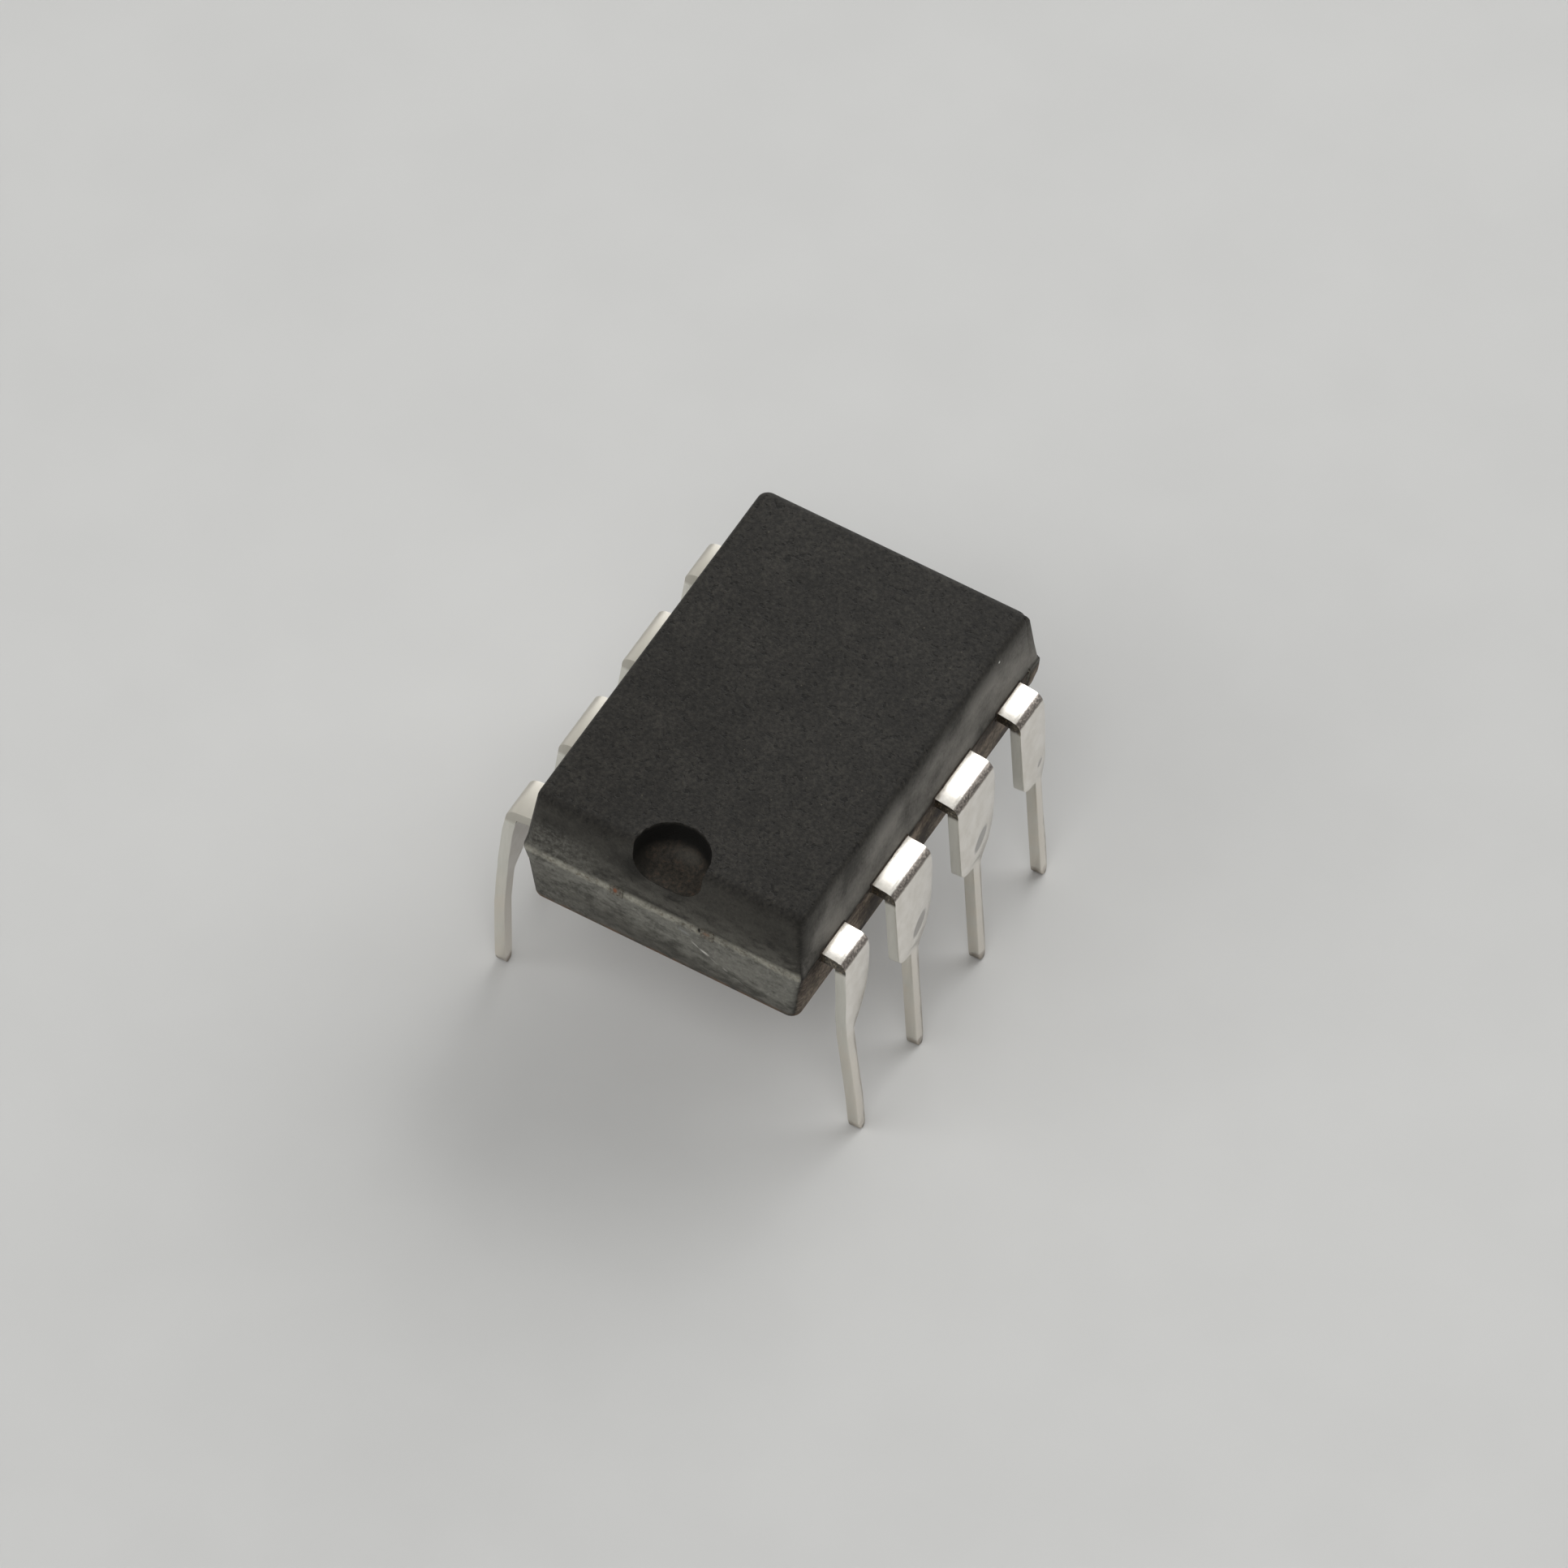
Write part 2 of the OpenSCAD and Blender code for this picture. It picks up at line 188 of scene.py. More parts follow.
def resin_body():
    """A block drafted both ways from the parting line, with soft edges, a notch and ejector marks."""
    upper_h, lower_h = TOP - PARTING - BAND_H / 2, PARTING - BOTTOM - BAND_H / 2
    piece = place(bpy.ops.mesh.primitive_cube_add, "resin_body", size=1, location=mm(0, 0, PARTING),
                  scale=mm(BODY_L, BODY_W, BAND_H))
    for side, height, draft in ((1, upper_h, UPPER_DRAFT), (-1, lower_h, LOWER_DRAFT)):
        choose(piece, "faces", lambda c, n: n.z * side > FACING)
        extrude(0, 0, side * height)
        inset = height * math.tan(draft)
        stretch(1 - 2 * inset / BODY_L, 1 - 2 * inset / BODY_W, (0, 0, PARTING))
    choose(piece, "edges", lambda a, b: abs(a.z - b.z) > BAND_H / 2)
    bevel(CORNER_R, 6)
    for height, width, steps in ((TOP, TOP_EDGE_R, 4), (BOTTOM, BOTTOM_EDGE_R, 3)):
        choose(piece, "edges", lambda a, b: abs(a.z - height) < 0.01 and abs(b.z - height) < 0.01)
        bevel(width, steps)
    done(piece)

    notch = place(bpy.ops.mesh.primitive_cylinder_add, "notch_cutter", vertices=72, radius=NOTCH_R * MM,
                  depth=2 * NOTCH_DEPTH * MM, location=mm(NOTCH_X, 0, TOP))
    choose(notch, "edges", lambda a, b: max(a.z, b.z) < TOP - NOTCH_DEPTH / 2)
    bevel(NOTCH_FOOT_R, 6)
    for height in NOTCH_RINGS:
        slice_across(0, 0, TOP + height)
    choose(notch, "verts", lambda p: p.z > TOP + CHIP_FROM)
    jitter(CHIP_REACH, seed=4)
    cut(piece, done(notch))
    for side in (-1, 1):
        mark = place(bpy.ops.mesh.primitive_cylinder_add, "ejector_cutter", vertices=48, radius=EJECTOR_R * MM,
                     depth=2 * EJECTOR_DEPTH * MM, location=mm(side * EJECTOR_X, 0, BOTTOM))
        cut(piece, done(mark))
    smooth(piece, 32)
    return piece


def torn_block(name, size, at, corner, runs_per_mm, tear, seed):
    """A thin block of torn resin: its corners rounded, then cut into short runs and pushed about."""
    piece = place(bpy.ops.mesh.primitive_cube_add, name, size=1, location=mm(*at), scale=mm(*size))
    choose(piece, "edges", lambda a, b: abs(a.z - b.z) > size[2] / 2)
    bevel(corner, 4)
    for axis in (0, 1):
        runs = int(size[axis] * runs_per_mm)
        for k in range(1, runs):
            point = list(at)
            point[axis] += (k / runs - 0.5) * size[axis]
            slice_across(*point, normal=[float(i == axis) for i in range(3)])
    bpy.ops.mesh.select_all(action="SELECT")
    jitter(tear, seed)
    done(piece)
    smooth(piece, 50)
    return piece


def parting_lip():
    """The sharper corners at the parting line: a block just inside the body's faces, seen at its corners."""
    piece = place(bpy.ops.mesh.primitive_cube_add, "parting_lip", size=1, location=mm(0, 0, PARTING),
                  scale=mm(BODY_L - 2 * LIP_SUNK, BODY_W - 2 * LIP_SUNK, LIP_BAND))
    for side in (1, -1):
        choose(piece, "faces", lambda c, n: n.z * side > FACING)
        extrude(0, 0, side * LIP_RISE)
        stretch(1 - 2 * LIP_INSET / BODY_L, 1 - 2 * LIP_INSET / BODY_W, (0, 0, PARTING))
    choose(piece, "edges", lambda a, b: abs(a.z - b.z) > LIP_BAND / 2)
    bevel(LIP_CORNER_R, 4)
    done(piece)
    smooth(piece, 40)
    return piece


def parting_flash():
    """The thin skin of resin that leaked between the mould's halves along the sides, torn at its edge."""
    size = (BODY_L - 2 * FLASH_END_GAP, BODY_W + 2 * FLASH_SIDE, FLASH_T)
    return torn_block("parting_flash", size, (0, 0, PARTING), corner=0.1, runs_per_mm=5, tear=0.012, seed=7)


def lead_collar(pin):
    """The thin resin that crept out over a lead's root."""
    side, _, x, near, far = lead_place(pin)
    size = (far - near + COLLAR_SPARE, COLLAR_DEPTH, STRIP_T + COLLAR_SPARE_T)
    at = (x + (near + far) / 2, side * (BODY_W / 2 - COLLAR_IN), PARTING)
    return torn_block(f"lead_collar_{pin}", size, at, corner=0.03, runs_per_mm=12, tear=0.008, seed=20 + pin)


def flash_lump():
    """The resin that fills the corner beside lead 4: it rises along the side face, and hangs torn below the
    parting line. Its inner edge is tucked under the side face, so that no seam shows there."""
    (inner_x, inner_y), (outer_x, outer_y) = LUMP_INNER, LUMP_OUTER
    piece = place(bpy.ops.mesh.primitive_cube_add, "flash_lump", size=1,
                  location=mm((inner_x + outer_x) / 2, (inner_y + outer_y) / 2, PARTING),
                  scale=mm(outer_x - inner_x, inner_y - outer_y, 2 * LUMP_HALF_BAND))
    for side, steps in ((1, LUMP_ABOVE), (-1, LUMP_BELOW)):
        x, y = outer_x, outer_y
        for rise, new_x, new_y in steps:
            choose(piece, "faces", lambda c, n: n.z * side > FACING)
            extrude(0, 0, side * rise)
            stretch((new_x - inner_x) / (x - inner_x), (new_y - inner_y) / (y - inner_y), (*LUMP_INNER, 0))
            x, y = new_x, new_y
    choose(piece, "edges", lambda a, b: True)
    bevel(LUMP_EDGE_R, 2)
    choose(piece, "verts", lambda p: p.x < inner_x + 0.05 and p.z > PARTING + LUMP_HALF_BAND)
    bpy.ops.transform.translate(value=mm(0, LUMP_TUCK, 0))
    choose(piece, "verts", lambda p: p.z < PARTING + 0.1)
    jitter(LUMP_TEAR, seed=3)
    done(piece)
    smooth(piece, 50)
    return piece


# ---------- the leads ----------

# Where the outer face of a lead stands below its bend: (drop below the parting line, y), in mm
STRAIGHT = ((0.2, 3.84), (5.2, 4.325))
LEFT_STRAIGHT = ((0.2, 3.93), (5.2, 4.39))
PATHS = {
    1: ((0.2, 3.85), (1.05, 3.905), (1.76, 3.925), (2.49, 3.975), (2.93, 4.055), (3.39, 4.13), (4.08, 4.235),
        (4.66, 4.30), (5.2, 4.37)),
    8: ((0.2, 3.975), (0.6, 4.04), (1.5, 4.10), (2.55, 4.16), (3.37, 4.17), (4.59, 4.12), (5.2, 4.09)),
}
# The strip's edges below the bend, from its pitch line: (drop, x), towards the notch and away from it
NEAR = ((0.3, -0.73), (1.85, -0.73), (1.96, -0.715), (2.03, -0.67), (2.09, -0.59), (2.13, -0.47),
        (2.15, -0.32), (2.19, -0.19), (2.3, -0.175), (4.9, -0.16), (5.06, -0.14), (5.14, -0.10), (5.17, -0.05))
FAR = ((0.3, 0.75), (0.7, 0.73), (1.12, 0.67), (1.45, 0.59), (1.70, 0.49), (1.88, 0.39), (2.03, 0.27),
       (2.13, 0.18), (2.24, 0.12), (3.2, 0.10), (4.2, 0.115), (4.9, 0.11), (5.06, 0.095), (5.14, 0.07),
       (5.17, 0.03))
FIRST_NEAR = ((0.3, -0.225), (1.75, -0.215), (2.05, -0.185), (4.9, -0.165), (5.06, -0.14), (5.14, -0.10),
              (5.17, -0.05))
LAST_FAR = ((0.3, 0.25), (0.9, 0.23), (1.7, 0.17), (2.05, 0.09), (2.3, 0.06), (3.4, 0.06), (4.2, 0.10),
            (4.9, 0.10), (5.06, 0.085), (5.14, 0.06), (5.17, 0.02))
DROPS = sorted({row[0] for row in NEAR + FAR})
# The legs of leads 2 to 4 stand a little nearer the notch than their shoulders: (drop, x)
LEG_ASIDE = ((0.3, 0), (1.9, 0), (2.3, -0.09), (5.2, -0.11))
# The left row stands a little nearer the notch, and all the shoulders droop outwards from a place by the body
LEFT_SHIFT, DROOP, DROOP_Y = -0.12, math.radians(8), 3.26


def between(table, at):
    """The values of a table's rows at a place between two of them."""
    for a, b in zip(table, table[1:]):
        if at <= b[0] + 1e-9:
            share = (at - a[0]) / (b[0] - a[0])
            return [p + (q - p) * share for p, q in zip(a[1:], b[1:])]
    return list(table[-1][1:])


def lead_place(pin):
    """A lead's side, its number in its row from the notch, its pitch line's x, and its shoulder's two edges
    from that line."""
    side, row, shift = (-1, pin - 1, 0) if pin < 5 else (1, 8 - pin, LEFT_SHIFT)
    return (side, row, (row - 1.5) * PITCH + shift, FIRST_NEAR_TOP if row == 0 else -SHOULDER_HALF,
            LAST_FAR_TOP if row == 3 else SHOULDER_HALF)


def stations(pin):
    """The strip's outer face from the finger's end inside the resin to the leg's tip: (y, z, near x, far x)."""
    side, row, x, near, far = lead_place(pin)
    path = PATHS.get(pin, STRAIGHT if side < 0 else LEFT_STRAIGHT)
    if row in (0, 3):
        turn = 1 if row == 0 else -1
        found = [(y, STRIP_TOP, *sorted((x + turn * a, x + turn * b))) for y, a, b in END_FINGER]
    else:
        found = [(y, STRIP_TOP, x - FINGER_HALF, x + FINGER_HALF) for y in (FINGER_TIP_Y, ROOT_Y - 0.01)]
    found += [(y, STRIP_TOP, x + near, x + far) for y in (ROOT_Y, DROOP_Y)]
    bend_y = path[0][1] - BEND_R
    flat_y = bend_y + BEND_R * math.sin(DROOP)
    bend_z = STRIP_TOP - (flat_y - DROOP_Y) * math.tan(DROOP) - BEND_R * math.cos(DROOP)
    start, lean = math.pi / 2 - DROOP, math.atan2(path[1][1] - path[0][1], path[1][0] - path[0][0])
    for k in range(BEND_STEPS + 1):
        angle = start + (lean - start) * k / BEND_STEPS
        found.append((bend_y + BEND_R * math.cos(angle), bend_z + BEND_R * math.sin(angle), x + near, x + far))
    for drop in DROPS:
        y, = between(path, drop)
        a, = between(FIRST_NEAR if row == 0 else NEAR, drop)
        b, = between(LAST_FAR if row == 3 else FAR, drop)
        aside, = between(LEG_ASIDE, drop) if pin in (2, 3, 4) else (0,)
        found.append((y, PARTING - drop, x + aside + a, x + aside + b))
    return found


def lead(pin):
    """Folds a lead from a ribbon along its stations, gives it the strip's thickness and breaks its edges."""
    side, path = lead_place(pin)[0], stations(pin)
    y, z, near, far = path[0]
    width = far - near
    piece = place(bpy.ops.mesh.primitive_plane_add, f"tin_lead_{pin}", size=width * MM,
                  location=mm((near + far) / 2, side * (y - width / 2), z))
    choose(piece, "verts", lambda p: p.y * side < y - width / 2)
    bpy.ops.mesh.delete(type="VERT")
    bpy.ops.mesh.select_all(action="SELECT")
    for y1, z1, near1, far1 in path[1:]:
        shift = (near1 + far1 - near - far) / 2
        extrude(shift, side * (y1 - y), z1 - z)
        stretch((far1 - near1) / (far - near), 1, ((near1 + far1) / 2, 0, 0))
        y, z, near, far = y1, z1, near1, far1
    bpy.ops.mesh.select_all(action="SELECT")
    bpy.ops.mesh.normals_make_consistent(inside=False)
    mesh = bmesh.from_edit_mesh(piece.data)
    mesh.faces.ensure_lookup_table()
    if mesh.faces[0].normal.z < 0:
        bpy.ops.mesh.flip_normals()
    bpy.ops.object.mode_set(mode="OBJECT")
    apply(piece, "SOLIDIFY", thickness=STRIP_T * MM, offset=-1, use_even_offset=True)
    pick(piece)
    bpy.ops.object.mode_set(mode="EDIT")
    choose(piece, "faces", lambda c, n: abs(n.x) < 0.5 and (n.y * side > 0.02 or n.z > 0.5))
    bpy.ops.mesh.region_to_loop()
    bevel(EDGE_BREAK, 2)
    done(piece)
    smooth(piece, 35)
    return piece


# ---------- materials ----------

def colour(code):
    """An sRGB hex colour as linear RGBA."""
    parts = [int(code[i:i + 2], 16) / 255 for i in (1, 3, 5)]
    return [*(p / 12.92 if p <= 0.04045 else ((p + 0.055) / 1.055) ** 2.4 for p in parts), 1]


def add(tree, kind, inputs=None, ramp=None, **settings):
    """Adds a node with its settings, sets or links its inputs, and returns its first output in use."""
    node = tree.nodes.new("ShaderNode" + kind)
    for key, value in settings.items():
        setattr(node, key, value)
    for key, value in (inputs or {}).items():
        socket = node.inputs[key] if isinstance(key, int) else next(
            i for i in node.inputs if i.enabled and i.name == key)
        if isinstance(value, bpy.types.NodeSocket):
            tree.links.new(value, socket)
        else:
            socket.default_value = value
    for k, (stop, code) in enumerate(ramp or ()):
        element = node.color_ramp.elements[k] if k < 2 else node.color_ramp.elements.new(stop)
        element.position, element.color = stop, colour(code)
    return next(o for o in node.outputs if o.enabled)


def material(name):
    """A bare material with its tree, each point's place in mm, and the parts of its place and of its normal."""
    made = bpy.data.materials.new(name)
    made.use_nodes = True
    tree = made.node_tree
    tree.nodes.clear()
    points = add(tree, "TexCoord").node.outputs
    at = add(tree, "VectorMath", {0: points["Object"], "Scale": 1 / MM}, operation="SCALE")
    return (made, tree, at, add(tree, "SeparateXYZ", {0: at}).node.outputs,
            add(tree, "SeparateXYZ", {0: points["Normal"]}).node.outputs)


def finish(tree, tone, height, relief, **settings):
    """Ends a tree with the shader that all the materials share; relief is the bump's height in mm."""
    bump = add(tree, "Bump", {"Height": height, "Strength": 1, "Distance": relief * MM})
    shader = add(tree, "BsdfPrincipled", {"Base Color": tone, **settings, "Normal": bump})
    tree.links.new(shader, tree.nodes.new("ShaderNodeOutputMaterial").inputs["Surface"])


def spotted(tree, at, tone, spots):
    """Lays soft oval spots over a tone. Each is a centre and three half-sizes in mm, a turn about Y or X in
    degrees, a colour, how much of it shows, and how soft its rim is."""
    for centre, half, turn, code, share, rim in spots:
        local = add(tree, "Mapping", {"Vector": at, "Location": centre, "Scale": half,
                                      "Rotation": [math.radians(v) for v in turn]}, vector_type="TEXTURE")
        ball = add(tree, "TexGradient", {"Vector": local}, gradient_type="SPHERICAL").node.outputs["Fac"]
        mask = add(tree, "MapRange", {"Value": ball, "From Min": 0, "From Max": rim, "To Max": share})
        tone = add(tree, "Mix", {"Factor": mask, "A": tone, "B": colour(code)}, data_type="RGBA")
    return tone


# The resin's patterns, in mm. Its silica grains are 0.01 to 0.05 mm, too fine to show, and are drawn coarser
GRAIN, FINE, PIT, STREAK, SPECK, CLOUD, SMEAR = 0.08, 0.09, 0.13, 0.20, 0.42, 0.9, 1.0
# The height of the worn line where the mould's halves met
WORN_LINE = 5.26
# Marks on the resin, and in the notch a painted patch of light and a painted shadow: see spotted()
RESIN_SPOTS = (
    ((-4.76, -0.87, 5.23), (0.1, 0.05, 0.09), (0, 0, 0), "#0d0a08", 0.95, 0.5),
    ((-4.70, -0.76, 4.62), (0.25, 0.04, 0.14), (-50, 0, 0), "#a9a7a0", 0.8, 0.6),
    ((-4.70, -0.97, 4.49), (0.25, 0.05, 0.15), (-62, 0, 0), "#cfcdc6", 0.85, 0.6),
    ((-4.70, -1.18, 4.33), (0.25, 0.03, 0.14), (-52, 0, 0), "#9c9a93", 0.6, 0.7),
    ((-4.70, -1.45, 4.20), (0.25, 0.04, 0.09), (-60, 0, 0), "#aeaca5", 0.6, 0.7),
    ((-4.70, -1.75, 4.02), (0.25, 0.014, 0.24), (-60, 0, 0), "#a3a19a", 0.5, 0.7),
    ((-4.70, -0.50, 4.92), (0.25, 0.05, 0.20), (-70, 0, 0), "#8f9293", 0.5, 0.8),
    ((3.33, -3.12, 6.63), (0.035, 0.1, 0.035), (0, 0, 0), "#d8d6cf", 0.9, 0.5),
    ((-4.6, -0.74, 6.45), (0.3, 0.02, 0.03), (0, 0, 0), "#8a857c", 0.6, 0.5),
    # Painted light: a paler patch at the foot of the notch's far wall
    ((-3.80, -0.08, 6.10), (0.22, 0.45, 0.2), (0, 0, 0), "#4c4a44", 0.55, 0.8),
    # Painted shadow: the notch's side towards +Y made darker
    ((-4.55, 0.72, 6.10), (0.5, 0.42, 0.5), (0, 0, 0), "#161512", 0.75, 0.6),
)


def filled_epoxy():
    """Epoxy filled with silica powder, from a worn mould: matt charcoal with fine grain and dark pits, rubbed
    pale on its long sides, dusty and scuffed over the notched end, with painted bounce light over that end's
    lower half, brown at the torn bottom edge, and with painted shade and a painted patch of light in the notch."""
    made, t, at, (x, y, z), (nx, ny, nz) = material("filled_epoxy_moulded_matt")
    grain = add(t, "TexNoise", {"Vector": at, "Scale": 1 / GRAIN, "Detail": 4, "Roughness": 0.6})
    cloud = add(t, "TexNoise", {"Vector": at, "Scale": 1 / CLOUD, "Detail": 3, "Roughness": 0.55})
    pit = add(t, "TexNoise", {"Vector": at, "Scale": 1 / PIT, "Detail": 2, "Roughness": 0.55})
    speck = add(t, "TexVoronoi", {"Vector": at, "Scale": 1 / SPECK})
    tone = add(t, "ValToRGB", {"Fac": grain}, ramp=((0.33, "#1b1a17"), (0.67, "#35332e"), (0.50, "#282623")))
    shade = add(t, "ValToRGB", {"Fac": cloud}, ramp=((0.35, "#d8d8d8"), (0.65, "#ffffff")))
    tone = add(t, "Mix", {"Factor": 1, "A": tone, "B": shade}, data_type="RGBA", blend_type="MULTIPLY")
    hole = add(t, "MapRange", {"Value": pit, "From Min": 0.40, "From Max": 0.31, "To Max": 0.75})
    tone = add(t, "Mix", {"Factor": hole, "A": tone, "B": colour("#0f0e0c")}, data_type="RGBA")
    fleck = add(t, "MapRange", {"Value": speck, "From Min": 0.05, "From Max": 0.02, "To Max": 0.22})
    tone = add(t, "Mix", {"Factor": fleck, "A": tone, "B": colour("#8d8774")}, data_type="RGBA")

    # The long sides: rubbed pale in soft patches above the parting line, brown below it
    side = add(t, "MapRange", {"Value": add(t, "Math", {0: ny}, operation="ABSOLUTE"), "From Min": 0.60,
                               "From Max": 0.98})
    smear = add(t, "TexNoise", {"Vector": add(t, "Mapping", {"Vector": at, "Scale": (0.75, 1, 1)}),
                                "Scale": 1 / SMEAR, "Detail": 2, "Roughness": 0.5})
    rubs = add(t, "Math", {0: grain, 1: 0.25, 2: smear}, operation="MULTIPLY_ADD")
    patch = add(t, "MapRange", {"Value": rubs, "From Min": 0.46, "From Max": 0.74, "To Min": 0.27, "To Max": 1})
    upper = add(t, "MapRange", {"Value": z, "From Min": 5.15, "From Max": 5.35})
    fading = add(t, "MapRange", {"Value": z, "From Min": 6.80, "From Max": 6.25, "To Min": 0.12})
    rubbed = add(t, "Math", {0: add(t, "Math", {0: side, 1: patch}, operation="MULTIPLY"),
                             1: add(t, "Math", {0: upper, 1: fading}, operation="MULTIPLY")},
                 operation="MULTIPLY")
    tone = add(t, "Mix", {"Factor": rubbed, "A": tone, "B": colour("#7e7b75")}, data_type="RGBA")
    lower = add(t, "Math", {0: side, 1: add(t, "MapRange", {"Value": z, "From Min": PARTING, "From Max": 5.0,
                                                             "To Max": 0.85})}, operation="MULTIPLY")
    mottle = add(t, "Math", {0: grain, 1: 0.6, 2: smear}, operation="MULTIPLY_ADD")
    brown = add(t, "ValToRGB", {"Fac": mottle}, ramp=((0.66, "#3b322c"), (0.94, "#a39483"), (0.80, "#6e6154")))
    tone = add(t, "Mix", {"Factor": lower, "A": tone, "B": brown}, data_type="RGBA")

    # The notched end, lighter in layers. The first, over all of the end below the parting line, is painted
    # bounce light from the floor; the others are a dusting, thicker about the parting line and spreading down to
    # the near corner. Each has a place with where it starts and where it is full, a colour, its share, and a
    # pattern with its limits
    end = add(t, "MapRange", {"Value": nx, "From Min": -0.70, "From Max": -0.95})
    streak = add(t, "TexNoise", {"Vector": add(t, "Mapping", {"Vector": at, "Scale": (1, 0.45, 1)}),
                                 "Scale": 1 / STREAK, "Detail": 5, "Roughness": 0.65})
    fine = add(t, "TexNoise", {"Vector": at, "Scale": 1 / FINE, "Detail": 4, "Roughness": 0.65})
    spread = add(t, "Math", {0: streak, 1: 1.3, 2: add(t, "Math", {0: y, 1: -0.16, 2: z},
                                                       operation="MULTIPLY_ADD")}, operation="MULTIPLY_ADD")
    for value, start, full, code, share, pattern, thin, thick in (
            # Painted bounce light from the floor: the end below the parting line made lighter all over
            (z, 5.22, 5.06, "#3f3e39", 0.85, cloud, 0.10, 0.35),
            (z, 7.00, 6.50, "#55534d", 0.34, cloud, 0.25, 0.50),
            (z, 6.20, 5.30, "#65635c", 0.68, streak, 0.40, 0.60),
            (spread, 4.72, 5.27, "#76756e", 0.85, streak, 0.20, 0.55),
            (spread, 4.72, 5.32, "#9b9a92", 0.55, fine, 0.42, 0.80)):
        level = add(t, "MapRange", {"Value": value, "From Min": start, "From Max": full, "To Max": share})
        dust_and_bounce = add(t, "MapRange", {"Value": pattern, "From Min": thin, "From Max": thick})
        mask = add(t, "Math", {0: add(t, "Math", {0: level, 1: dust_and_bounce}, operation="MULTIPLY"), 1: end},
                   operation="MULTIPLY")
        if value is spread:
            below = add(t, "MapRange", {"Value": z, "From Min": 5.24, "From Max": 5.10})
            mask = add(t, "Math", {0: mask, 1: below}, operation="MULTIPLY")
        tone = add(t, "Mix", {"Factor": mask, "A": tone, "B": colour(code)}, data_type="RGBA")
    # Scuffs, low down towards the end's left corner
    left = add(t, "MapRange", {"Value": y, "From Min": 1.0, "From Max": 2.4})
    low = add(t, "MapRange", {"Value": z, "From Min": 6.3, "From Max": 5.8, "To Max": 0.7})
    mark = add(t, "MapRange", {"Value": fine, "From Min": 0.42, "From Max": 0.72})
    scuff = add(t, "Math", {0: add(t, "Math", {0: left, 1: low}, operation="MULTIPLY"),
                            1: add(t, "Math", {0: mark, 1: end}, operation="MULTIPLY")}, operation="MULTIPLY")
    tone = add(t, "Mix", {"Factor": scuff, "A": tone, "B": colour("#7b7a73")}, data_type="RGBA")

    # The pale worn line where the mould's halves met, patchy and brown in places
    wobble = add(t, "Math", {0: streak, 1: 0.12, 2: z}, operation="MULTIPLY_ADD")
    away = add(t, "Math", {0: add(t, "Math", {0: wobble, 1: WORN_LINE}, operation="SUBTRACT")},
               operation="ABSOLUTE")
    band = add(t, "MapRange", {"Value": away, "From Min": 0.15, "From Max": 0.05, "To Max": 0.95})
    patchy = add(t, "MapRange", {"Value": streak, "From Min": 0.36, "From Max": 0.56, "To Min": 0.5,
                                 "To Max": 1})
    worn = add(t, "ValToRGB", {"Fac": fine}, ramp=((0.30, "#6a6050"), (0.72, "#a9a79b"), (0.46, "#8f8d82")))
    tone = add(t, "Mix", {"Factor": add(t, "Math", {0: add(t, "Math", {0: band, 1: end}, operation="MULTIPLY"),
                                                    1: patchy}, operation="MULTIPLY"), "A": tone, "B": worn},
               data_type="RGBA")

    # The bottom edge: brown and crumbly
    rim = add(t, "Math", {0: add(t, "MapRange", {"Value": z, "From Min": BOTTOM + 0.15,
                                                 "From Max": BOTTOM + 0.05}),
                          1: add(t, "MapRange", {"Value": streak, "From Min": 0.42, "From Max": 0.55,
                                                 "To Max": 0.8})}, operation="MULTIPLY")
    tone = add(t, "Mix", {"Factor": rim, "A": tone, "B": colour("#6a4a30")}, data_type="RGBA")

    # In the notch: painted shade, near black on its steep wall, with brown crumbs on its floor
    across = add(t, "Mapping", {"Vector": at, "Location": (NOTCH_X, 0, TOP - NOTCH_DEPTH), "Scale": (
        NOTCH_R * 1.1, NOTCH_R * 1.1, 1000)}, vector_type="TEXTURE")
    column = add(t, "TexGradient", {"Vector": across}, gradient_type="SPHERICAL").node.outputs["Fac"]
    well = add(t, "MapRange", {"Value": column, "From Min": 0.045, "From Max": 0.08})
    behind = add(t, "Math", {0: z, 1: -math.tan(UPPER_DRAFT), 2: x}, operation="MULTIPLY_ADD")
    face = -BODY_L / 2 - (PARTING + BAND_H / 2) * math.tan(UPPER_DRAFT)
    for value, start, full in ((z, TOP - 0.01, TOP - 0.09), (z, TOP - NOTCH_DEPTH - 0.07, TOP - NOTCH_DEPTH),
                               (behind, face + 0.01, face + 0.03)):
        level = add(t, "MapRange", {"Value": value, "From Min": start, "From Max": full})
        well = add(t, "Math", {0: well, 1: level}, operation="MULTIPLY")
    crumbs_and_wall_shade = add(t, "ValToRGB", {"Fac": fine}, ramp=((0.36, "#26231f"), (0.72, "#4d4036"), (0.52, "#36322c")))
    # Painted shade: the notch's steep wall made near black
    wall_shade = add(t, "MapRange", {"Value": nz, "From Min": 0.62, "From Max": 0.25, "To Max": 0.97})
    crumbs_and_wall_shade = add(t, "Mix", {"Factor": wall_shade, "A": crumbs_and_wall_shade, "B": colour("#090908")}, data_type="RGBA")
    tone = add(t, "Mix", {"Factor": add(t, "Math", {0: well, 1: 0.95}, operation="MULTIPLY"), "A": tone,
                          "B": crumbs_and_wall_shade}, data_type="RGBA")

    tone = spotted(t, at, tone, RESIN_SPOTS)
    height = add(t, "Math", {0: hole, 1: -0.8, 2: grain}, operation="MULTIPLY_ADD")
    # The rubbed sides are smoother than the top
    height = add(t, "Math", {0: height, 1: add(t, "MapRange", {"Value": side, "To Min": 1, "To Max": 0.2})},
                 operation="MULTIPLY")
    finish(t, tone, height, relief=0.016, **{"Roughness": 0.62, "Specular IOR Level": 0.15})
    return made


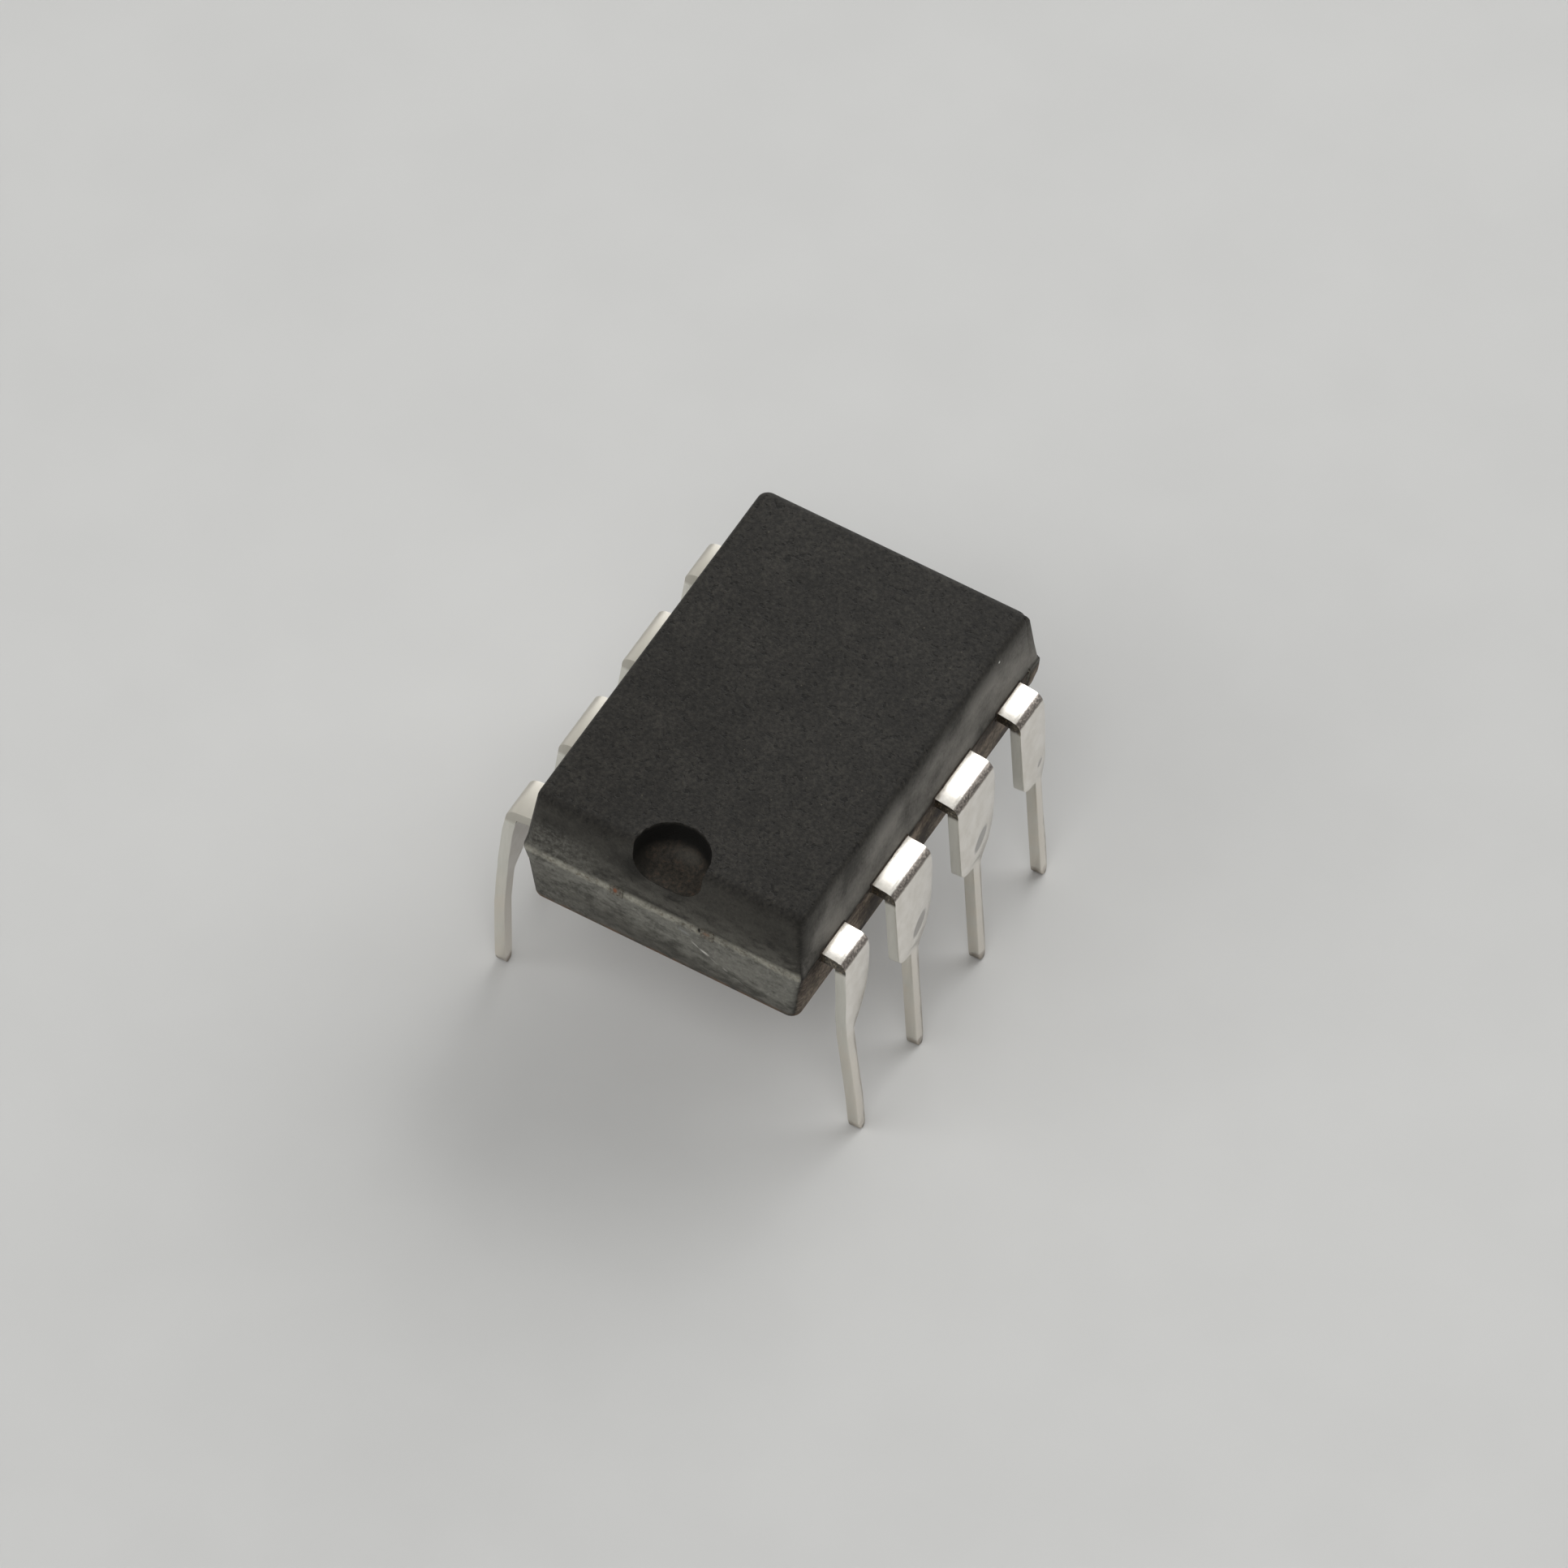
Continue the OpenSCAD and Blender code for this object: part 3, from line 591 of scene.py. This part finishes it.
def torn_epoxy():
    """Thin resin torn off at the mould's edge: brown, since light gets into it, and rough."""
    made, t, at, _, _ = material("filled_epoxy_flash_torn")
    grain = add(t, "TexNoise", {"Vector": at, "Scale": 1 / 0.12, "Detail": 3, "Roughness": 0.6})
    tone = add(t, "ValToRGB", {"Fac": grain}, ramp=((0.32, "#231f1b"), (0.70, "#4b4138"), (0.5, "#352e28")))
    finish(t, tone, grain, relief=0.012, **{"Roughness": 0.6, "Specular IOR Level": 0.2})
    return made


# The tin's patterns, in mm: its grain, drawn coarser than the real one so that it shows, its stains, and the
# streaks that drawing and shearing leave along it
TIN_GRAIN, TIN_STAIN, TIN_STREAK = 0.05, 0.35, 0.07
# Dark ovals on the outer faces of leads 2 to 4, painted dark reflection of small dents there: see spotted()
TIN_SPOTS = (
    ((-1.16, -4.0, 3.57), (0.36, 0.4, 0.16), (0, -40, 0), "#8f8b88", 0.75, 0.25),
    ((1.34, -4.0, 3.58), (0.36, 0.4, 0.16), (0, -40, 0), "#92908e", 0.75, 0.25),
    ((3.74, -4.0, 3.45), (0.13, 0.4, 0.07), (0, -40, 0), "#8f8b88", 0.7, 0.3),
)


def dull_tin():
    """Tin plated over copper alloy strip before it was cut and bent: bright and soft on its faces, greyer on
    its cut edges, with painted dark reflection on the right row's bends and painted glints on the cut edges
    beside them, painted dark reflection in dents on three legs, yellowed and stained towards the tips."""
    made, t, at, (x, y, z), (nx, ny, nz) = material("tin_plating_dull_bent")
    grain = add(t, "TexNoise", {"Vector": at, "Scale": 1 / TIN_GRAIN, "Detail": 3, "Roughness": 0.65})
    blotch = add(t, "TexNoise", {"Vector": at, "Scale": 1 / TIN_STAIN, "Detail": 3, "Roughness": 0.6})
    long = add(t, "TexNoise", {"Vector": add(t, "Mapping", {"Vector": at, "Scale": (1, 1, 0.12)}),
                               "Scale": 1 / TIN_STREAK, "Detail": 3, "Roughness": 0.6})
    tone = add(t, "ValToRGB", {"Fac": blotch}, ramp=((0.35, "#e6e1d9"), (0.65, "#f5f1eb")))
    out = add(t, "Math", {0: ny}, operation="ABSOLUTE")
    edge = add(t, "MapRange", {"Value": add(t, "Math", {0: nx}, operation="ABSOLUTE"), "From Min": 0.55,
                               "From Max": 0.85})
    sheared = add(t, "ValToRGB", {"Fac": long}, ramp=((0.35, "#dad8cf"), (0.65, "#e2e0d8")))
    tone = add(t, "Mix", {"Factor": edge, "A": tone, "B": sheared}, data_type="RGBA")

    # The lower legs: yellowed, and dark along the edge that the shears left last
    leg = add(t, "Math", {0: add(t, "MapRange", {"Value": z, "From Min": 3.3, "From Max": 2.6, "To Max": 0.7}),
                          1: add(t, "MapRange", {"Value": blotch, "From Min": 0.25, "From Max": 0.62})},
              operation="MULTIPLY")
    tone = add(t, "Mix", {"Factor": leg, "A": tone, "B": colour("#e2dace")}, data_type="RGBA")
    across = add(t, "Math", {0: x, 1: PITCH, 2: 0}, operation="WRAP")
    aside = add(t, "MapRange", {"Value": x, "From Min": -2.6, "From Max": -2.5, "To Min": -0.10, "To Max": 0})
    ragged = add(t, "Math", {0: long, 1: 0.14, 2: add(t, "Math", {0: across, 1: aside}, operation="ADD")},
                 operation="MULTIPLY_ADD")
    burr = add(t, "Math", {0: add(t, "MapRange", {"Value": ragged, "From Min": PITCH / 2 - 0.01,
                                                  "From Max": PITCH / 2 + 0.05, "To Max": 0.6}),
                           1: add(t, "MapRange", {"Value": z, "From Min": 3.1, "From Max": 2.6})},
               operation="MULTIPLY")
    tone = add(t, "Mix", {"Factor": burr, "A": tone, "B": colour("#857b6e")}, data_type="RGBA")
    tip = add(t, "MapRange", {"Value": add(t, "Math", {0: blotch, 1: 0.5, 2: z}, operation="MULTIPLY_ADD"),
                              "From Min": 0.52, "From Max": 0.32, "To Max": 0.8})
    tone = add(t, "Mix", {"Factor": tip, "A": tone, "B": colour("#6d5b48")}, data_type="RGBA")

    # The bend: painted dark reflection on the right row's bends, grainy, and beside it the right row's cut edges
    # are dark brown with pale specks that are painted glints
    down = add(t, "MapRange", {"Value": add(t, "Math", {0: grain, 1: 0.35, 2: out}, operation="MULTIPLY_ADD"),
                               "From Min": 0.57, "From Max": 0.69})
    up = add(t, "MapRange", {"Value": add(t, "Math", {0: grain, 1: 0.35, 2: nz}, operation="MULTIPLY_ADD"),
                             "From Min": 0.46, "From Max": 0.62})
    high = add(t, "Math", {0: add(t, "MapRange", {"Value": z, "From Min": 4.92, "From Max": 5.00,
                                                  "To Max": 0.9}),
                           1: add(t, "Math", {0: y, 1: 0}, operation="LESS_THAN")}, operation="MULTIPLY")
    bend = add(t, "Math", {0: add(t, "Math", {0: down, 1: up}, operation="MULTIPLY"), 1: high},
               operation="MULTIPLY")
    # Painted dark reflection: the right row's bends, where they mirror the room's dark near side
    bend_dark_reflection = add(t, "ValToRGB", {"Fac": grain}, ramp=((0.38, "#332c29"), (0.62, "#968e87"), (0.5, "#5f5752")))
    tone = add(t, "Mix", {"Factor": bend, "A": tone, "B": bend_dark_reflection}, data_type="RGBA")
    # The right row's cut edges beside the bend: dark brown, with pale specks that are painted glints
    dark_edge_and_glints = add(t, "Math", {0: add(t, "Math", {0: edge, 1: high}, operation="MULTIPLY"), 1: add(
        t, "MapRange", {"Value": blotch, "From Min": 0.25, "From Max": 0.40})}, operation="MULTIPLY")
    dark_brown_and_painted_glints = add(t, "ValToRGB", {"Fac": grain}, ramp=((0.40, "#1f1915"), (0.66, "#a3977f"), (0.54, "#4a4036")))
    tone = add(t, "Mix", {"Factor": dark_edge_and_glints, "A": tone, "B": dark_brown_and_painted_glints}, data_type="RGBA")

    # The shoulder's root: a beige margin of thin resin bleed, ragged towards the bend
    reach = add(t, "Math", {0: add(t, "Math", {0: y}, operation="ABSOLUTE"), 1: add(
        t, "Math", {0: blotch, 1: -0.25}, operation="MULTIPLY")}, operation="ADD")
    bleed = add(t, "MapRange", {"Value": reach, "From Min": 3.22, "From Max": 3.16, "To Max": 0.6})
    tone = add(t, "Mix", {"Factor": bleed, "A": tone, "B": colour("#9c907e")}, data_type="RGBA")
    # Painted dark reflection: the dark ovals on the legs of leads 2 to 4
    tone = spotted(t, at, tone, TIN_SPOTS)

    # The left row's shoulders are duller than the right row's
    dulled = add(t, "Math", {0: add(t, "MapRange", {"Value": z, "From Min": 4.85, "From Max": 4.95,
                                                    "To Max": 0.85}),
                             1: add(t, "Math", {0: y, 1: 0}, operation="GREATER_THAN")}, operation="MULTIPLY")
    tone = add(t, "Mix", {"Factor": dulled, "A": tone, "B": colour("#bebab0")}, data_type="RGBA")
    rough = add(t, "MapRange", {"Value": add(t, "Math", {0: bend, 1: dulled}, operation="MAXIMUM"),
                                "To Min": 0.24, "To Max": 0.45})
    finish(t, tone, grain, relief=0.001, Metallic=1, Roughness=rough)
    return made


def smeared_copper():
    """The die paddle's copper alloy: its cut tie ends are smeared over with resin dust, with copper red showing
    at one side."""
    made, t, at, _, _ = material("copper_alloy_cut_smeared")
    smear = add(t, "TexNoise", {"Vector": at, "Scale": 1 / 0.07, "Detail": 3, "Roughness": 0.6})
    tone = add(t, "ValToRGB", {"Fac": smear}, ramp=((0.35, "#4c443a"), (0.65, "#7d796d"), (0.50, "#625e54")))
    bare = [((-4.77, 1.07, 5.235), (0.2, 0.06, 0.09), (0, 0, 0), "#84451f", 0.85, 0.6),
            ((-4.77, -1.04, 5.235), (0.2, 0.11, 0.06), (0, 0, 0), "#7f6450", 0.7, 0.6)]
    finish(t, spotted(t, at, tone, bare), smear, relief=0.01, Metallic=0.2, Roughness=0.5)
    return made


def fine_grained(name, dark, light, size, relief, **settings):
    """A plain finish with a fine grain between two tones; its grain's size and relief are in mm."""
    made, t, at, _, _ = material(name)
    grain = add(t, "TexNoise", {"Vector": at, "Scale": 1 / size, "Detail": 2})
    finish(t, add(t, "ValToRGB", {"Fac": grain}, ramp=((0.35, dark), (0.65, light))), grain, relief, **settings)
    return made


def dress(piece, look):
    piece.data.materials.clear()
    piece.data.materials.append(look)


# ---------- camera, light and floor ----------

# The camera, fitted to the photograph: its place in mm, its directions, and its lens and sensor in mm
CAMERA_AT = (-270.42, -138.49, 402.31)
CAMERA_RIGHT, CAMERA_AHEAD = Vector((0.49909, -0.86571, 0.038154)), Vector((0.540065, 0.276316, -0.794971))
LENS, SENSOR = 570.05, 36
# The lamps: a name, the azimuth and elevation they shine from in degrees, width and height in m, and power in W
LAMP_DISTANCE = 0.45
LAMPS = (
    ("back_softbox", -15, 36, 0.50, 0.36, 1.29),
    ("left_softbox", 140, 34, 0.38, 0.28, 0.57),
    ("overhead_softbox", 200, 57, 0.26, 0.26, 0.66),
    ("low_strip", 12, 12, 0.46, 0.14, 0.50),
    ("right_strip", 52, 23, 0.40, 0.37, 0.13),
    ("shine_lamp", 2, 61, 0.20, 0.18, 0.16),
)
# The room's walls are palest towards this direction
PALE_TOWARD = (0.3, 0.6, 0.74)


def camera():
    """The camera of the photograph: far off, with a long lens, over the notched end's near corner."""
    data = bpy.data.cameras.new("camera")
    eye = bpy.data.objects.new("camera", data)
    bpy.context.scene.collection.objects.link(eye)
    turn = Matrix((CAMERA_RIGHT, CAMERA_RIGHT.cross(CAMERA_AHEAD), -CAMERA_AHEAD)).transposed().to_4x4()
    eye.matrix_world = Matrix.Translation(mm(*CAMERA_AT)) @ turn
    data.lens, data.sensor_width = LENS, SENSOR
    data.clip_start, data.clip_end = 0.05, 10
    bpy.context.scene.camera = eye


def softbox(name, azimuth, elevation, width, height, power):
    """A rectangular lamp that faces the origin."""
    data = bpy.data.lights.new(name, "AREA")
    data.shape, data.size, data.size_y, data.energy = "RECTANGLE", width, height, power
    lamp = bpy.data.objects.new(name, data)
    bpy.context.scene.collection.objects.link(lamp)
    a, e = math.radians(azimuth), math.radians(elevation)
    toward = Vector((math.cos(e) * math.cos(a), math.cos(e) * math.sin(a), math.sin(e)))
    lamp.location = toward * LAMP_DISTANCE
    lamp.rotation_euler = toward.to_track_quat("Z", "Y").to_euler()


def studio():
    """A pale floor, soft boxes round it, a lamp that shines in the flat shoulders, and a plain room."""
    bpy.ops.object.select_all(action="DESELECT")
    bpy.ops.mesh.primitive_plane_add(size=3)
    floor = bpy.context.object
    floor.name = "floor"
    # Smooth coated paper, white in the light and pale grey at this exposure
    dress(floor, fine_grained("paper_coated_smooth", "#c8c8c6", "#cacac8", size=3.0, relief=0.0, Roughness=0.9))
    for lamp in LAMPS:
        softbox(*lamp)
    world = bpy.data.worlds.new("room")
    bpy.context.scene.world = world
    world.use_nodes = True
    tree = world.node_tree
    tree.nodes.clear()
    # The walls light the object: pale behind and overhead, dark towards the near side
    toward = add(tree, "VectorMath", {0: add(tree, "TexCoord").node.outputs["Generated"], 1: PALE_TOWARD},
                 operation="DOT_PRODUCT")
    glow = add(tree, "MapRange", {"Value": toward, "From Min": -0.13, "To Min": 0.022, "To Max": 0.30})
    fill = add(tree, "Background", {"Strength": glow, "Color": (1, 1, 1, 1)})
    # The camera, metal and glass see a plain pale backdrop instead
    backdrop = add(tree, "Background", {"Strength": 1, "Color": colour("#c9c9c6")})
    rays = add(tree, "LightPath").node.outputs
    shown = add(tree, "Math", {0: add(tree, "Math", {0: rays["Is Camera Ray"], 1: rays["Is Glossy Ray"]}),
                               1: rays["Is Transmission Ray"]}, use_clamp=True)
    mix = add(tree, "MixShader", {0: shown, 1: fill, 2: backdrop})
    tree.links.new(mix, tree.nodes.new("ShaderNodeOutputWorld").inputs["Surface"])


camera()
studio()
epoxy, flash, tin = filled_epoxy(), torn_epoxy(), dull_tin()
body = resin_body()
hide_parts("moulded_body")
pieces = [(piece, epoxy, "resin") for piece in (body, parting_lip(), flash_lump())]
pieces += [(piece, flash, "resin") for piece in (parting_flash(), *map(lead_collar, range(1, 9)))]
for pin in range(1, 9):
    piece = lead(pin)
    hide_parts(f"lead_{pin}")
    pieces.append((piece, tin, "tin"))
for piece, look, slot in pieces:
    dress(piece, look)
    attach(piece, "root")

# Inside the resin: the paddle, the die stuck to it, and the drawn gold wires
gold = fine_grained("gold_wire_drawn", "#d0a644", "#e0b854", size=0.02, relief=0.001, Metallic=1,
                    Roughness=0.25)
for node, look in (
        ("die_paddle", smeared_copper()),
        ("die_attach", fine_grained("epoxy_silver_filled", "#8f8f8b", "#b8b8b3", size=0.03, relief=0.005,
                                    Roughness=0.7)),
        ("silicon_die", fine_grained("silicon_polished", "#4c4c58", "#585866", size=0.2, relief=0.0005,
                                     Roughness=0.12)),
        *((f"bond_wire_{pin}", gold) for pin in range(1, 9))):
    dress(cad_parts[node], look)

bpy.context.scene.view_settings.view_transform = "Standard"
